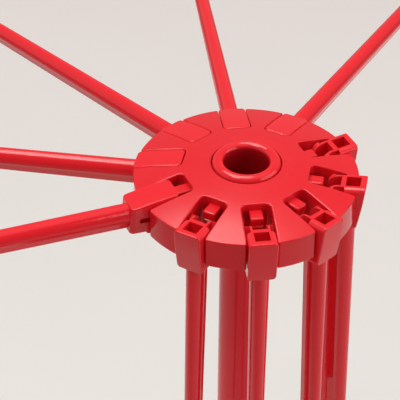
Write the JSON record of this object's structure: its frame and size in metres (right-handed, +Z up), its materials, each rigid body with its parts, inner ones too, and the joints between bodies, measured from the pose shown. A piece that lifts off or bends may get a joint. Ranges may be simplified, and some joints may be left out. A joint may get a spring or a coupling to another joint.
{
  "type": "pasta drying rack",
  "caption": "Free-standing pasta drying rack: round foot, hollow column and domed slotted hub whose oval arms fold down on pins and slide in to lock level.",
  "frame": {"origin": "middle of the foot's underside, on the column's axis", "axes": "+Z up along the column; -Y towards the camera of the picture"},
  "size_m": [0.3474, 0.3541, 0.444],
  "materials": {
    "hub_plastic": "gloss red",
    "collar_plastic": "gloss red",
    "column_plastic": "gloss red",
    "base_plastic": "gloss red",
    "knuckle_plastic": "gloss red",
    "rod_plastic": "gloss red",
    "pin_plastic": "gloss red",
    "plug_plastic": "matt red",
    "cover_plastic": "matt red",
    "pad_rubber": "fine grain",
    "screw_steel": "zinc"
  },
  "bodies": {
    "stand": {"hub": "hub_plastic", "column_collar": "collar_plastic", "column_tube": "column_plastic", "column_plug": "plug_plastic", "base_screw": "screw_steel", "base_shell": "base_plastic", "base_cover": "cover_plastic", "base_pad": "pad_rubber", "pins_04": "pin_plastic", "pins_05": "pin_plastic", "pins_06": "pin_plastic", "pins_07": "pin_plastic"},
    "pivot_01": {"pins_01": "pin_plastic"},
    "arm_01": {"knuckle_01": "knuckle_plastic", "rod_01": "rod_plastic"},
    "pivot_02": {"pins_02": "pin_plastic"},
    "arm_02": {"knuckle_02": "knuckle_plastic", "rod_02": "rod_plastic"},
    "arm_03": {"knuckle_03": "knuckle_plastic", "rod_03": "rod_plastic", "pins_03": "pin_plastic"},
    "arm_04": {"knuckle_04": "knuckle_plastic", "rod_04": "rod_plastic"},
    "arm_05": {"knuckle_05": "knuckle_plastic", "rod_05": "rod_plastic"},
    "arm_06": {"knuckle_06": "knuckle_plastic", "rod_06": "rod_plastic"},
    "arm_07": {"knuckle_07": "knuckle_plastic", "rod_07": "rod_plastic"},
    "pivot_08": {"pins_08": "pin_plastic"},
    "arm_08": {"knuckle_08": "knuckle_plastic", "rod_08": "rod_plastic"},
    "pivot_09": {"pins_09": "pin_plastic"},
    "arm_09": {"knuckle_09": "knuckle_plastic", "rod_09": "rod_plastic"},
    "pivot_10": {"pins_10": "pin_plastic"},
    "arm_10": {"knuckle_10": "knuckle_plastic", "rod_10": "rod_plastic"}
  },
  "joints": [
    {"name": "fold_01", "type": "hinge", "parent": "stand", "child": "pivot_01", "pos_m": [0.00858, -0.05129, 0.4222], "axis": [-0.9863, -0.165, 0], "range_deg": [0, 86]},
    {"name": "lock_01", "type": "slide", "parent": "pivot_01", "child": "arm_01", "axis": [-0.0115, 0.0688, 0.9976], "range_m": [0, 0.0075]},
    {"name": "fold_02", "type": "hinge", "parent": "stand", "child": "pivot_02", "pos_m": [-0.0232, -0.04654, 0.4222], "axis": [-0.8949, 0.4462, 0], "range_deg": [0, 86]},
    {"name": "lock_02", "type": "slide", "parent": "pivot_02", "child": "arm_02", "axis": [0.0311, 0.0624, 0.9976], "range_m": [0, 0.0075]},
    {"name": "fold_03", "type": "hinge", "parent": "stand", "child": "arm_03", "pos_m": [-0.04612, -0.02401, 0.4222], "axis": [-0.4617, 0.887, 0], "range_deg": [-92.6, 0]},
    {"name": "release_04", "type": "slide", "parent": "stand", "child": "arm_04", "axis": [-0.989, 0.1478, 0], "range_m": [0, 0.0075]},
    {"name": "release_05", "type": "slide", "parent": "stand", "child": "arm_05", "axis": [-0.7133, 0.7009, 0], "range_m": [0, 0.0075]},
    {"name": "release_06", "type": "slide", "parent": "stand", "child": "arm_06", "axis": [-0.165, 0.9863, 0], "range_m": [0, 0.0075]},
    {"name": "release_07", "type": "slide", "parent": "stand", "child": "arm_07", "axis": [0.4462, 0.8949, 0], "range_m": [0, 0.0075]},
    {"name": "fold_08", "type": "hinge", "parent": "stand", "child": "pivot_08", "pos_m": [0.04612, 0.02401, 0.4222], "axis": [0.4617, -0.887, 0], "range_deg": [0, 86]},
    {"name": "lock_08", "type": "slide", "parent": "pivot_08", "child": "arm_08", "axis": [-0.0619, -0.0322, 0.9976], "range_m": [0, 0.0075]},
    {"name": "fold_09", "type": "hinge", "parent": "stand", "child": "pivot_09", "pos_m": [0.05143, -0.00769, 0.4222], "axis": [-0.1478, -0.989, 0], "range_deg": [0, 86]},
    {"name": "lock_09", "type": "slide", "parent": "pivot_09", "child": "arm_09", "axis": [-0.069, 0.0103, 0.9976], "range_m": [0, 0.0075]},
    {"name": "fold_10", "type": "hinge", "parent": "stand", "child": "pivot_10", "pos_m": [0.03709, -0.03645, 0.4222], "axis": [-0.7009, -0.7133, 0], "range_deg": [0, 86]},
    {"name": "lock_10", "type": "slide", "parent": "pivot_10", "child": "arm_10", "axis": [-0.0498, 0.0489, 0.9976], "range_m": [0, 0.0075]}
  ]
}
